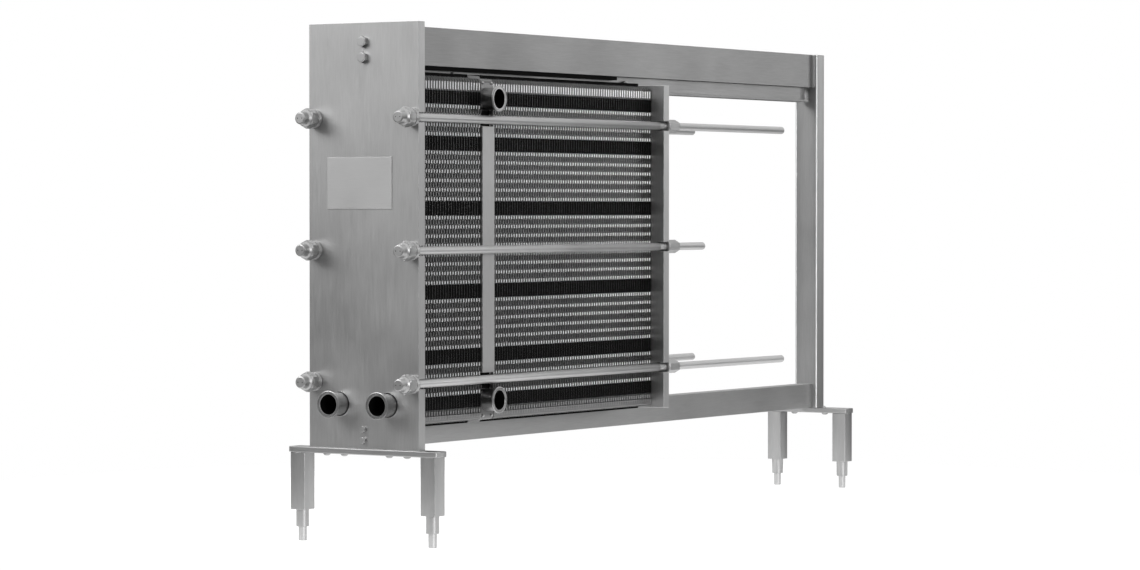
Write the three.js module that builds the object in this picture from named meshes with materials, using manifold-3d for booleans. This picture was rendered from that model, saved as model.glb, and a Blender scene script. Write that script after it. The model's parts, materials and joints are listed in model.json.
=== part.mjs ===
// Plate heat exchanger on a hanging-rail frame, built from its separate pieces.
// Millimetres, +Z up. +X runs from the fixed frame plate to the end column.
// The origin is the centre of the footprint, at floor level.
import * as THREE from 'three';
import { mergeVertices } from 'three/addons/utils/BufferGeometryUtils.js';
import Module from 'manifold-3d';

const wasm = await Module();
wasm.setup();

// ---- driving dimensions ----
const GAP = 0.3; // clearance between pieces that touch
const PLATE_WIDTH = 315; // frame plate and pressure plate
const FRAME_HEIGHT = 1000;
const PLATE_THICKNESS = 26;
const FLOOR_CLEARANCE = 225; // floor to the underside of the frame plate
const PACK_CENTRE_Z = FLOOR_CLEARANCE + 466;

const PACK_START = PLATE_THICKNESS;
const CONNECTION_START = 317;
const CONNECTION_THICKNESS = 51;
const PRESSURE_START = 1104;
const COLUMN_START = 2145;

const PACK_HALF_WIDTH = 120;
const PACK_HALF_HEIGHT = 410;
const TAB_HALF_WIDTH = 80; // the plates stand taller in the middle
const TAB_RISE = 8;
const TAB_SLOPE = 4;
const PACK_CORNER = 10;
const PACKS_BEFORE_CONNECTION = 2;
const PACKS_AFTER_CONNECTION = 6;
const CONNECTION_HALF_WIDTH = 124; // between the top and bottom tie bolts
const RECESS = { halfWidth: 106, low: 296, high: 336, slope: 6 }; // round the tie bolts
const PRESSURE_HALF_HEIGHT = 415.5;

const PORT_Y = 70;
const PORT_Z = 362; // above and below the pack centre
const PORT_TUBE_R = 27; // neck of a 2 inch ferrule
const PORT_BORE_R = 23.75;
const FERRULE_R = 32;
const FERRULE_RIM = 3;
const FERRULE_TAPER = 5;
const PLATE_PORT_HOLE_R = 29;
const CHANNEL_R = 25;
const FRAME_PORT_REACH = 46; // ferrule face in front of its plate
const CORNER_PORT_REACH = 36;

const BEAM_WIDTH = 40;
const BEAM_TOP = FLOOR_CLEARANCE + 999;
const BEAM_BOTTOM = FLOOR_CLEARANCE + 907;
const BEAM_FLANGE = 6;
const BEAM_FLANGE_WIDTH = 56;
const RAIL_BOTTOM = FLOOR_CLEARANCE + 865;
const RAIL_LIP = 7;
const RAIL_LIP_WIDTH = 36;
const RAIL_WEB = 12;
const RAIL_END = 2126;
const GUIDE_HEIGHT = 67.5;
const GUIDE_WIDTH = 40;

const COLUMN_WIDTH = 69;
const COLUMN_DEPTH = 43;
const COLUMN_WALL = 5;
const COLUMN_FOLD = 5;

const CROSSBAR_DEPTH = 45;
const CROSSBAR_THICKNESS = 14;
const CROSSBAR_EDGE = 3;
const FRONT_CROSSBAR_HALF = 213;
const REAR_CROSSBAR_HALF = 128.5;
const FRONT_LEG_Y = 188;
const REAR_LEG_Y = 104.5;
const FRONT_LEG_X = 12.5;
const REAR_LEG_X = 2168;
const LEG_SIZE = 42;
const LEG_CORNER = 2.5;
const LEG_LENGTH = 136;
const SLEEVE_R = 15.7;
const SLEEVE_LENGTH = 41;
const STEM_R = 10;
const STEM_BORE = STEM_R + 0.4;
const STEM_HIDDEN = 60;
const STEM_BORE_DEPTH = 95;

const BOLT_Y = 141;
const BOLT_Z = 311; // top and bottom rows from the pack centre
const SLOT_HALF = 12;
const ROD_R = 10;
const LONG_ROD_END = 1753;
const SHORT_ROD_END = 1329;
const WASHER_R = 22;
const WASHER_STACK = 16;
const HEX_HEAD = 22;
const HEX_HEAD_FLATS = 42;
const NOSE_R = 14.8;
const NOSE_LENGTH = 22;
const NUT_FLATS = 30;
const NUT_LENGTH = 50;
const NUT_COLLAR = 8;
const NUT_COLLAR_R = 19;
const NUT_BORE = ROD_R + 0.5;

const ROUND = 16; // sides of a turned piece
const FINE_ROUND = 20;

// ---- materials ----
function steel(color, roughness) {
  return new THREE.MeshStandardMaterial({ color, roughness, metalness: 1 });
}
const platingSteel = () => steel(0xa9a9a8, 0.42);
const barSteel = () => steel(0x9c9c9b, 0.38);
const turnedSteel = () => steel(0xb9b9b8, 0.25);
const packMaterial = () => new THREE.MeshStandardMaterial({ color: 0x55565a, roughness: 0.5, metalness: 0.6 });

// ---- geometry helpers ----
function toSolid(geometry) {
  const bare = geometry.clone();
  bare.deleteAttribute('normal');
  bare.deleteAttribute('uv');
  const merged = mergeVertices(bare, 1e-4);
  return new wasm.Manifold(new wasm.Mesh({
    numProp: 3,
    vertProperties: new Float32Array(merged.attributes.position.array),
    triVerts: new Uint32Array(merged.index.array),
  }));
}

function toGeometry(solid) {
  const mesh = solid.getMesh();
  const geometry = new THREE.BufferGeometry();
  geometry.setAttribute('position', new THREE.BufferAttribute(mesh.vertProperties, 3));
  geometry.setIndex(new THREE.BufferAttribute(mesh.triVerts, 1));
  geometry.computeVertexNormals();
  return geometry;
}

// joins the first geometries and cuts the second ones away
function carve(joined, cut = []) {
  let solid = toSolid(joined[0]);
  for (const piece of joined.slice(1)) {
    solid = solid.add(toSolid(piece));
  }
  for (const tool of cut) {
    solid = solid.subtract(toSolid(tool));
  }
  return toGeometry(solid);
}

function arc(cx, cy, r, from, to, steps) {
  const points = [];
  for (let i = 0; i <= steps; i += 1) {
    const angle = from + ((to - from) * i) / steps;
    points.push([cx + r * Math.cos(angle), cy + r * Math.sin(angle)]);
  }
  return points;
}

function circle(cx, cy, r, sides) {
  return arc(cx, cy, r, 0, 2 * Math.PI, sides).slice(0, sides);
}

function outline(points, holes = []) {
  const vectors = (list) => list.map(([x, y]) => new THREE.Vector2(x, y));
  const shape = new THREE.Shape(vectors(points));
  for (const hole of holes) {
    shape.holes.push(new THREE.Path(vectors(hole)));
  }
  return shape;
}

// the outline is drawn in Y and Z and drawn out along X from `start`
function prismX(shape, start, length) {
  const geometry = new THREE.ExtrudeGeometry(shape, { depth: length, bevelEnabled: false });
  const turn = new THREE.Matrix4().makeBasis(
    new THREE.Vector3(0, 1, 0),
    new THREE.Vector3(0, 0, 1),
    new THREE.Vector3(1, 0, 0),
  );
  return geometry.applyMatrix4(turn).translate(start, 0, 0);
}

// the outline is drawn in X and Y and drawn out along Z from `start`
function prismZ(shape, start, length) {
  const geometry = new THREE.ExtrudeGeometry(shape, { depth: length, bevelEnabled: false });
  return geometry.translate(0, 0, start);
}

// profile of [distance along X, radius], from one end of the axis to the other
function turnedX(profile, sides = ROUND) {
  const points = profile.map(([x, r]) => new THREE.Vector2(r, x));
  return new THREE.LatheGeometry(points, sides).rotateZ(-Math.PI / 2);
}

function rod(r, start, end, sides = ROUND) {
  return turnedX([[start, 0], [start, r], [end, r], [end, 0]], sides);
}

function block(x0, x1, y0, y1, z0, z1) {
  const geometry = new THREE.BoxGeometry(x1 - x0, y1 - y0, z1 - z0);
  return geometry.translate((x0 + x1) / 2, (y0 + y1) / 2, (z0 + z1) / 2);
}

function hexagonX(flats, start, length, firstCorner) {
  const corners = circle(0, 0, flats / Math.sqrt(3), 6).map(([a, b]) => [
    a * Math.cos(firstCorner) - b * Math.sin(firstCorner),
    a * Math.sin(firstCorner) + b * Math.cos(firstCorner),
  ]);
  return prismX(outline(corners), start, length);
}

function roundedRectangle(halfX, halfY, corner, steps) {
  const quarter = Math.PI / 2;
  return [
    ...arc(halfX - corner, halfY - corner, corner, 0, quarter, steps),
    ...arc(corner - halfX, halfY - corner, corner, quarter, 2 * quarter, steps),
    ...arc(corner - halfX, corner - halfY, corner, 2 * quarter, 3 * quarter, steps),
    ...arc(halfX - corner, corner - halfY, corner, 3 * quarter, 4 * quarter, steps),
  ];
}

// points of the +Y half, from bottom to top, closed by their mirror image
function mirrored(half) {
  const other = half.map(([y, z]) => [-y, z]).reverse();
  return [...half, ...other];
}

// ---- assembly ----
const exchanger = new THREE.Group();

function add(name, geometry, material, x = 0, y = 0, z = 0, parent = exchanger) {
  const mesh = new THREE.Mesh(geometry, material);
  mesh.name = name;
  mesh.position.set(x, y, z);
  parent.add(mesh);
  return mesh;
}

const SIDES = [['near', -1], ['far', 1]];
const ROWS = [['top', BOLT_Z], ['middle', 0], ['bottom', -BOLT_Z]];

// open slots that the tie bolts lie in, on the +Y edge
function slottedEdge(halfWidth, low, high, centreZ) {
  const edge = [[halfWidth, low]];
  for (const row of [-BOLT_Z, 0, BOLT_Z]) {
    const z = centreZ + row;
    edge.push([halfWidth, z - SLOT_HALF]);
    edge.push(...arc(BOLT_Y, z, SLOT_HALF, 1.5 * Math.PI, 0.5 * Math.PI, 6));
    edge.push([halfWidth, z + SLOT_HALF]);
  }
  edge.push([halfWidth, high]);
  return edge;
}

// ---- fixed frame plate with its two ferrule ports, badge and screws ----
const BEAM_BOLTS_Z = [BEAM_TOP - 43, BEAM_TOP - 80];
const GUIDE_BOLTS_Z = [FLOOR_CLEARANCE + 46, FLOOR_CLEARANCE + 20];
const BEAM_BOLT = { shank: 8, flats: 24, head: 10, length: 62 };
const GUIDE_BOLT = { shank: 5, flats: 15, head: 6.5, length: 52 };
const BOLT_CLEARANCE = 0.5;

function framePlate() {
  const low = FLOOR_CLEARANCE;
  const edge = slottedEdge(PLATE_WIDTH / 2, low, low + FRAME_HEIGHT, PACK_CENTRE_Z);
  const holes = [];
  for (const side of [-1, 1]) {
    holes.push(circle(side * PORT_Y, PACK_CENTRE_Z - PORT_Z, PLATE_PORT_HOLE_R, FINE_ROUND));
  }
  for (const z of BEAM_BOLTS_Z) {
    holes.push(circle(0, z, BEAM_BOLT.shank + BOLT_CLEARANCE, 12));
  }
  for (const z of GUIDE_BOLTS_Z) {
    holes.push(circle(0, z, GUIDE_BOLT.shank + BOLT_CLEARANCE, 12));
  }
  return prismX(outline(mirrored(edge), holes), 0, PLATE_THICKNESS);
}
add('frame_plate', framePlate(), platingSteel());

// tube with a clamp ferrule, the ferrule's face at x = 0 and the tube running towards +X
function ferrule(length) {
  return turnedX([
    [0, PORT_BORE_R],
    [0, FERRULE_R],
    [FERRULE_RIM, FERRULE_R],
    [FERRULE_RIM + FERRULE_TAPER, PORT_TUBE_R],
    [length, PORT_TUBE_R],
    [length, PORT_BORE_R],
    [0, PORT_BORE_R],
  ], FINE_ROUND);
}

for (const [name, side] of SIDES) {
  const tube = ferrule(FRAME_PORT_REACH + PLATE_THICKNESS - GAP);
  add(`frame_port_${name}`, tube, turnedSteel(), -FRAME_PORT_REACH, side * PORT_Y, PACK_CENTRE_Z - PORT_Z);
}

const BADGE = { width: 186, height: 122, thickness: 1.2, y: 11, z: FLOOR_CLEARANCE + 624 };
add('badge_plate', new THREE.BoxGeometry(BADGE.thickness, BADGE.width, BADGE.height), platingSteel(),
  -GAP - BADGE.thickness / 2, BADGE.y, BADGE.z);

function hexBolt({ shank, flats, head, length }) {
  return carve([
    hexagonX(flats, -head - GAP, head, Math.PI / 6),
    rod(shank, -1, length, 12),
  ]);
}
BEAM_BOLTS_Z.forEach((z, i) => {
  add(`beam_bolt_${i + 1}`, hexBolt(BEAM_BOLT), turnedSteel(), 0, 0, z);
});
GUIDE_BOLTS_Z.forEach((z, i) => {
  add(`guide_bar_bolt_${i + 1}`, hexBolt(GUIDE_BOLT), turnedSteel(), 0, 0, z);
});

// ---- carrying beam, hanger rail, guide bar and end column ----
function boltHole(bolt, z) {
  return rod(bolt.shank + BOLT_CLEARANCE, PLATE_THICKNESS - 5, bolt.length + 4, 12).translate(0, 0, z);
}

const barStart = PLATE_THICKNESS + GAP;
const beamEnd = COLUMN_START - BEAM_FLANGE - 2 * GAP;
add('carrying_beam', carve(
  [block(barStart, beamEnd, -BEAM_WIDTH / 2, BEAM_WIDTH / 2, BEAM_BOTTOM, BEAM_TOP)],
  BEAM_BOLTS_Z.map((z) => boltHole(BEAM_BOLT, z)),
), barSteel());
add('beam_end_flange', block(beamEnd + GAP, COLUMN_START - GAP, -BEAM_FLANGE_WIDTH / 2,
  BEAM_FLANGE_WIDTH / 2, BEAM_BOTTOM, BEAM_TOP), barSteel());

function hangerRail() {
  const top = BEAM_BOTTOM - GAP;
  const lip = RAIL_BOTTOM + RAIL_LIP;
  const half = [
    [RAIL_LIP_WIDTH / 2, RAIL_BOTTOM],
    [RAIL_LIP_WIDTH / 2, lip],
    [RAIL_WEB / 2, lip],
    [RAIL_WEB / 2, top],
  ];
  return prismX(outline(mirrored(half)), barStart, RAIL_END - barStart);
}
add('hanger_rail', hangerRail(), barSteel());

const guideTop = FLOOR_CLEARANCE + GUIDE_HEIGHT;
add('guide_bar', carve(
  [block(barStart, COLUMN_START - GAP, -GUIDE_WIDTH / 2, GUIDE_WIDTH / 2, FLOOR_CLEARANCE, guideTop)],
  GUIDE_BOLTS_Z.map((z) => boltHole(GUIDE_BOLT, z)),
), barSteel());

// folded channel, open towards +X
function endColumn() {
  const half = COLUMN_WIDTH / 2;
  const wall = COLUMN_WALL;
  const outer = [
    [COLUMN_DEPTH, half],
    ...arc(COLUMN_FOLD, half - COLUMN_FOLD, COLUMN_FOLD, Math.PI / 2, Math.PI, 3),
    ...arc(COLUMN_FOLD, COLUMN_FOLD - half, COLUMN_FOLD, Math.PI, 1.5 * Math.PI, 3),
    [COLUMN_DEPTH, -half],
  ];
  const inner = [
    [COLUMN_DEPTH, wall - half],
    [wall, wall - half],
    [wall, half - wall],
    [COLUMN_DEPTH, half - wall],
  ];
  return prismZ(outline([...outer, ...inner]), FLOOR_CLEARANCE, BEAM_TOP - FLOOR_CLEARANCE);
}
add('end_column', endColumn(), barSteel(), COLUMN_START);

// ---- crossbars, legs and screwed feet ----
const crossbarTop = FLOOR_CLEARANCE - GAP;
const crossbarBottom = crossbarTop - CROSSBAR_THICKNESS;

function crossbar(halfLength) {
  const section = roundedRectangle(CROSSBAR_DEPTH / 2, halfLength, CROSSBAR_EDGE, 2);
  return prismZ(outline(section), crossbarBottom, CROSSBAR_THICKNESS);
}
add('front_crossbar', crossbar(FRONT_CROSSBAR_HALF), platingSteel(), FRONT_LEG_X);
add('rear_crossbar', crossbar(REAR_CROSSBAR_HALF), platingSteel(), REAR_LEG_X);

const legTop = crossbarBottom - GAP;
const legBottom = legTop - LEG_LENGTH;
const sleeveBottom = legBottom - SLEEVE_LENGTH;

function leg() {
  const tube = prismZ(outline(roundedRectangle(LEG_SIZE / 2, LEG_SIZE / 2, LEG_CORNER, 2)), legBottom, LEG_LENGTH);
  const sleeve = prismZ(outline(circle(0, 0, SLEEVE_R, ROUND)), sleeveBottom, SLEEVE_LENGTH + 1);
  const bore = prismZ(outline(circle(0, 0, STEM_BORE, 12)), sleeveBottom - 1, STEM_BORE_DEPTH + 1);
  return carve([tube, sleeve], [bore]);
}

function stem() {
  return prismZ(outline(circle(0, 0, STEM_R, 12)), 0, sleeveBottom + STEM_HIDDEN);
}

const LEGS = [
  ['front', FRONT_LEG_X, FRONT_LEG_Y],
  ['rear', REAR_LEG_X, REAR_LEG_Y],
];
for (const [end, x, y] of LEGS) {
  for (const [name, side] of SIDES) {
    add(`leg_${end}_${name}`, leg(), platingSteel(), x, side * y);
    add(`foot_stem_${end}_${name}`, stem(), turnedSteel(), x, side * y);
  }
}

// ---- plates that hang on the rail and straddle the guide bar ----
const HOOK = { open: RAIL_WEB / 2 + 1.5, wide: RAIL_LIP_WIDTH / 2 + 1.5 };
const LIP_LOW = RAIL_BOTTOM - PACK_CENTRE_Z - 1.5;
const LIP_HIGH = RAIL_BOTTOM + RAIL_LIP - PACK_CENTRE_Z + 1;
const GUIDE_NOTCH_HALF = GUIDE_WIDTH / 2 + 1.5;
const GUIDE_NOTCH_TOP = guideTop - PACK_CENTRE_Z + 2;

// outline of a hanging plate around the pack centre, with any further points of its long edge
function hangingOutline(halfWidth, edge = []) {
  const low = -PACK_HALF_HEIGHT;
  const high = PACK_HALF_HEIGHT;
  const corner = PACK_CORNER;
  return mirrored([
    [GUIDE_NOTCH_HALF, GUIDE_NOTCH_TOP],
    [GUIDE_NOTCH_HALF, low - TAB_RISE],
    [TAB_HALF_WIDTH, low - TAB_RISE],
    [TAB_HALF_WIDTH + TAB_SLOPE, low],
    ...arc(halfWidth - corner, low + corner, corner, -Math.PI / 2, 0, 3),
    ...edge,
    ...arc(halfWidth - corner, high - corner, corner, 0, Math.PI / 2, 3),
    [TAB_HALF_WIDTH + TAB_SLOPE, high],
    [TAB_HALF_WIDTH, high + TAB_RISE],
    [HOOK.open, high + TAB_RISE],
    [HOOK.open, LIP_HIGH],
    [HOOK.wide, LIP_HIGH],
    [HOOK.wide, LIP_LOW],
  ]);
}

function channels(sides) {
  const holes = [];
  for (const y of [-PORT_Y, PORT_Y]) {
    for (const z of [-PORT_Z, PORT_Z]) {
      holes.push(circle(y, z, CHANNEL_R, sides));
    }
  }
  return holes;
}

function packSection(firstNumber, count, start, end) {
  const length = (end - start) / count;
  for (let i = 0; i < count; i += 1) {
    const shape = outline(hangingOutline(PACK_HALF_WIDTH), channels(12));
    const geometry = prismX(shape, GAP, length - GAP);
    add(`plate_pack_${firstNumber + i}`, geometry, packMaterial(), start + i * length, 0, PACK_CENTRE_Z);
  }
}
packSection(1, PACKS_BEFORE_CONNECTION, PACK_START, CONNECTION_START - GAP);
packSection(1 + PACKS_BEFORE_CONNECTION, PACKS_AFTER_CONNECTION,
  CONNECTION_START + CONNECTION_THICKNESS, PRESSURE_START - GAP);

// ---- connection plate with a ferrule port at each corner ----
function connectionPlate() {
  const upper = [
    [CONNECTION_HALF_WIDTH, RECESS.low],
    [RECESS.halfWidth, RECESS.low],
    [RECESS.halfWidth, RECESS.high],
    [PACK_HALF_WIDTH, RECESS.high + RECESS.slope],
  ];
  const lower = upper.map(([y, z]) => [y, -z]).reverse();
  const shape = outline(hangingOutline(PACK_HALF_WIDTH, [...lower, ...upper]), channels(ROUND));
  const body = prismX(shape, 0, CONNECTION_THICKNESS);
  const bores = [];
  for (const side of [-1, 1]) {
    for (const z of [-PORT_Z, PORT_Z]) {
      const bore = rod(PORT_BORE_R, PORT_Y, CONNECTION_HALF_WIDTH + 1, FINE_ROUND);
      bore.rotateZ((side * Math.PI) / 2);
      bores.push(bore.translate(CONNECTION_THICKNESS / 2, 0, z));
    }
  }
  return carve([body], bores);
}
add('connection_plate', connectionPlate(), platingSteel(), CONNECTION_START, 0, PACK_CENTRE_Z);

for (const [name, side] of SIDES) {
  for (const [row, z] of [['top', PORT_Z], ['bottom', -PORT_Z]]) {
    const tube = ferrule(CORNER_PORT_REACH - GAP).rotateZ((-side * Math.PI) / 2);
    add(`corner_port_${row}_${name}`, tube, turnedSteel(), CONNECTION_START + CONNECTION_THICKNESS / 2,
      side * (PACK_HALF_WIDTH + CORNER_PORT_REACH), PACK_CENTRE_Z + z);
  }
}

// ---- movable pressure plate, its ports, hanger and rollers ----
function pressurePlate() {
  const low = -PRESSURE_HALF_HEIGHT;
  const high = PRESSURE_HALF_HEIGHT;
  const edge = slottedEdge(PLATE_WIDTH / 2, low, high, 0);
  const half = [
    [GUIDE_NOTCH_HALF, GUIDE_NOTCH_TOP],
    [GUIDE_NOTCH_HALF, low],
    ...edge,
    [HOOK.wide, high],
    [HOOK.wide, LIP_LOW],
  ];
  const holes = [-PORT_Y, PORT_Y].map((y) => circle(y, PORT_Z, PLATE_PORT_HOLE_R, FINE_ROUND));
  return prismX(outline(mirrored(half), holes), 0, PLATE_THICKNESS);
}
add('pressure_plate', pressurePlate(), platingSteel(), PRESSURE_START, 0, PACK_CENTRE_Z);

const pressureBack = PRESSURE_START + PLATE_THICKNESS;
for (const [name, side] of SIDES) {
  const tube = ferrule(FRAME_PORT_REACH + PLATE_THICKNESS - GAP).rotateZ(Math.PI);
  add(`pressure_port_${name}`, tube, turnedSteel(), pressureBack + FRAME_PORT_REACH, side * PORT_Y,
    PACK_CENTRE_Z + PORT_Z);
}

const ROLLER_R = 12;
const ROLLER_WIDTH = 9;
const AXLE_R = 4;
const HANGER = { thickness: 6, halfWidth: 28, cheekInner: 22, low: 330, cheekLow: 376, reach: 34 };
const rollerZ = RAIL_BOTTOM + RAIL_LIP + GAP + ROLLER_R - PACK_CENTRE_Z;
const rollerX = 19;
const rollerY = RAIL_WEB / 2 + 1 + ROLLER_WIDTH / 2;

// bracket behind the pressure plate: a back plate, two cheeks and two stub axles
function hanger() {
  const high = rollerZ + 8;
  const pieces = [block(0, HANGER.thickness, -HANGER.halfWidth, HANGER.halfWidth, HANGER.low, LIP_LOW)];
  for (const side of [-1, 1]) {
    const y0 = Math.min(side * HANGER.cheekInner, side * HANGER.halfWidth);
    const y1 = Math.max(side * HANGER.cheekInner, side * HANGER.halfWidth);
    pieces.push(block(0, HANGER.reach, y0, y1, HANGER.cheekLow, high));
    const axle = rod(AXLE_R, rollerY - ROLLER_WIDTH / 2, HANGER.cheekInner + 1, 12);
    axle.rotateZ((side * Math.PI) / 2);
    pieces.push(axle.translate(rollerX, 0, rollerZ));
  }
  return carve(pieces);
}
add('pressure_plate_hanger', hanger(), platingSteel(), pressureBack + GAP, 0, PACK_CENTRE_Z);

for (const [name, side] of SIDES) {
  const half = ROLLER_WIDTH / 2;
  const bore = AXLE_R + GAP;
  const wheel = turnedX([[-half, bore], [-half, ROLLER_R], [half, ROLLER_R], [half, bore], [-half, bore]], ROUND);
  add(`hanger_roller_${name}`, wheel.rotateZ(Math.PI / 2), turnedSteel(), pressureBack + GAP + rollerX,
    side * rollerY, PACK_CENTRE_Z + rollerZ);
}

// ---- tie bolts: head and nose in front, washers, long rod, nut behind the pressure plate ----
function tieBolt(rodEnd) {
  const head = -WASHER_STACK - GAP;
  const chamfer = 3;
  const shaft = turnedX([
    [head - HEX_HEAD - NOSE_LENGTH, 0],
    [head - HEX_HEAD - NOSE_LENGTH, NOSE_R - chamfer],
    [head - HEX_HEAD - NOSE_LENGTH + chamfer, NOSE_R],
    [head - 2, NOSE_R],
    [head - 2, ROD_R],
    [rodEnd - chamfer, ROD_R],
    [rodEnd, ROD_R - chamfer],
    [rodEnd, 0],
  ], 12);
  return carve([shaft, hexagonX(HEX_HEAD_FLATS, head - HEX_HEAD, HEX_HEAD, Math.PI / 2)]);
}

function washerStack() {
  const bore = ROD_R + 1;
  const groove = 1.5;
  const middle = WASHER_STACK / 2;
  return turnedX([
    [-WASHER_STACK, bore],
    [-WASHER_STACK, WASHER_R - groove],
    [-middle, WASHER_R],
    [-middle + 1, WASHER_R - groove],
    [-GAP, WASHER_R],
    [-GAP, bore],
    [-WASHER_STACK, bore],
  ]);
}

function tieNut() {
  const collar = turnedX([
    [0, 0],
    [0, NUT_COLLAR_R],
    [NUT_COLLAR, NUT_COLLAR_R],
    [NUT_COLLAR, 0],
  ]);
  const body = hexagonX(NUT_FLATS, NUT_COLLAR - 1, NUT_LENGTH + 1, 0);
  const bore = rod(NUT_BORE, -1, NUT_COLLAR + NUT_LENGTH + 1, 12);
  return carve([collar, body], [bore]);
}

for (const [sideName, side] of SIDES) {
  for (const [rowName, row] of ROWS) {
    const y = side * BOLT_Y;
    const z = PACK_CENTRE_Z + row;
    const end = row === 0 ? SHORT_ROD_END : LONG_ROD_END;
    const place = `${rowName}_${sideName}`;
    add(`tie_bolt_${place}`, tieBolt(end), turnedSteel(), 0, y, z);
    add(`tie_washers_${place}`, washerStack(), turnedSteel(), 0, y, z);
    add(`tie_nut_${place}`, tieNut(), turnedSteel(), pressureBack + GAP, y, z);
  }
}

// ---- origin: centre of the footprint ----
const frontMost = -GAP - WASHER_STACK - HEX_HEAD - NOSE_LENGTH;
const rearMost = REAR_LEG_X + CROSSBAR_DEPTH / 2;
exchanger.position.x = -(frontMost + rearMost) / 2;

export default exchanger;
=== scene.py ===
import json
import math

import bmesh
import bpy
import numpy as np
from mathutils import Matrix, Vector


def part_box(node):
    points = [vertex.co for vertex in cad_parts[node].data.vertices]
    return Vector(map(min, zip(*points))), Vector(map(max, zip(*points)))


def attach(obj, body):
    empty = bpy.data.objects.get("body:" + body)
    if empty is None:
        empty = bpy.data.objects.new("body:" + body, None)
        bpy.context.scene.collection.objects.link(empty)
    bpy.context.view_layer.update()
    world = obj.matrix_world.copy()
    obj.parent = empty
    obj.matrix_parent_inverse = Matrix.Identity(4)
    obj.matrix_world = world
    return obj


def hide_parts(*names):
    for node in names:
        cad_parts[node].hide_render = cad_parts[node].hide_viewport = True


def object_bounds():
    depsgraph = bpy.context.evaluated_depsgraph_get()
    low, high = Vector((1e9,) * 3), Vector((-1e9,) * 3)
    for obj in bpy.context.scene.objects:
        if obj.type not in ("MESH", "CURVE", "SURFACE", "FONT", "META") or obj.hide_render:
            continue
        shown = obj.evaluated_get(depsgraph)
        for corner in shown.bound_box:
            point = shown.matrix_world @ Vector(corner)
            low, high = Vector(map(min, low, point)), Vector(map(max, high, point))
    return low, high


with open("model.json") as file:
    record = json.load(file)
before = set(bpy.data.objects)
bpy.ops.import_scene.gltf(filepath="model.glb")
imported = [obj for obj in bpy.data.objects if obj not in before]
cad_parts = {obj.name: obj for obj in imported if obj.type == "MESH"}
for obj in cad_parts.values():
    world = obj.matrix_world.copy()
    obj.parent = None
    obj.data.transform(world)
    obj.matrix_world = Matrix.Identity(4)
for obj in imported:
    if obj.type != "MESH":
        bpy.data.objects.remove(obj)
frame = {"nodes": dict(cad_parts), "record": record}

CAD_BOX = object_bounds()
MM = 0.001
BODY_OF = {node: body for body, nodes in frame["record"]["behaviour"]["bodies"].items() for node in nodes}
SIDES = {"near": -1, "far": 1}
ROWS = ("top", "middle", "bottom")
PACKS = [f"plate_pack_{i}" for i in range(1, 9)]


# ---------------------------------------------------------------- meshes

def middle(node):
    low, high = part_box(node)
    return (low + high) / 2


def size(node):
    low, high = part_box(node)
    return high - low


def new_object(name, mesh, material):
    piece = bpy.data.objects.new(name, mesh)
    bpy.context.scene.collection.objects.link(piece)
    mesh.materials.append(material)
    return piece


def smooth(mesh, angle=32):
    mesh.shade_smooth()
    mesh.set_sharp_from_angle(angle=math.radians(angle))


class Bag:
    """Collects vertices and faces, and makes one mesh of them."""

    def __init__(self):
        self.blocks = []
        self.faces = []
        self.count = 0

    def add(self, points, faces):
        points = np.asarray(points, float).reshape(-1, 3)
        start = self.count
        self.faces += [tuple(i + start for i in face) for face in faces]
        self.blocks.append(points)
        self.count += len(points)

    def mesh(self, name):
        mesh = bpy.data.meshes.new(name)
        mesh.from_pydata(np.concatenate(self.blocks).tolist(), [], self.faces)
        mesh.update()
        return mesh


def add_box(bag, xs, ys, zs):
    """Adds a plain box between two values on each axis, the lower one first."""
    bag.add([(x, y, z) for x in xs for y in ys for z in zs],
            [(0, 1, 3, 2), (4, 6, 7, 5), (0, 4, 5, 1), (2, 3, 7, 6), (0, 2, 6, 4), (1, 5, 7, 3)])


def turned(profile, axis, centre, sides=48):
    """A turned solid from (distance along the axis, radius). A closed ring repeats its first point."""
    ring = profile[0] == profile[-1]
    points = profile[:-1] if ring else profile
    along = {"X": (0, 1, 2), "Y": (1, 2, 0), "Z": (2, 0, 1)}[axis]
    vertices, rows = [], []
    for distance, radius in points:
        tip = radius < 1e-7
        row = []
        for k in range(1 if tip else sides):
            angle = 2 * math.pi * k / sides
            p = [0.0, 0.0, 0.0]
            p[along[0]] = distance
            p[along[1]] = radius * math.cos(angle)
            p[along[2]] = radius * math.sin(angle)
            row.append(len(vertices))
            vertices.append(p)
        rows.append(row)
    faces = []
    pairs = list(zip(rows, rows[1:])) + ([(rows[-1], rows[0])] if ring else [])
    for a, b in pairs:
        for k in range(sides):
            n = (k + 1) % sides
            corners = [a[k % len(a)], b[k % len(b)], b[n % len(b)], a[n % len(a)]]
            face = [c for i, c in enumerate(corners) if c not in corners[:i]]
            if len(face) > 2:
                faces.append(face)
    bag = Bag()
    bag.add(np.array(vertices) + np.array(centre), faces)
    mesh = bag.mesh("turned")
    outward(mesh)
    smooth(mesh)
    return mesh


def outward(mesh):
    shape = bmesh.new()
    shape.from_mesh(mesh)
    bmesh.ops.recalc_face_normals(shape, faces=shape.faces)
    shape.to_mesh(mesh)
    shape.free()


def joined(name, meshes, angle=20):
    """One mesh of several separate ones."""
    shape = bmesh.new()
    for mesh in meshes:
        shape.from_mesh(mesh)
    whole = bpy.data.meshes.new(name)
    shape.to_mesh(whole)
    shape.free()
    smooth(whole, angle)
    return whole


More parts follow.
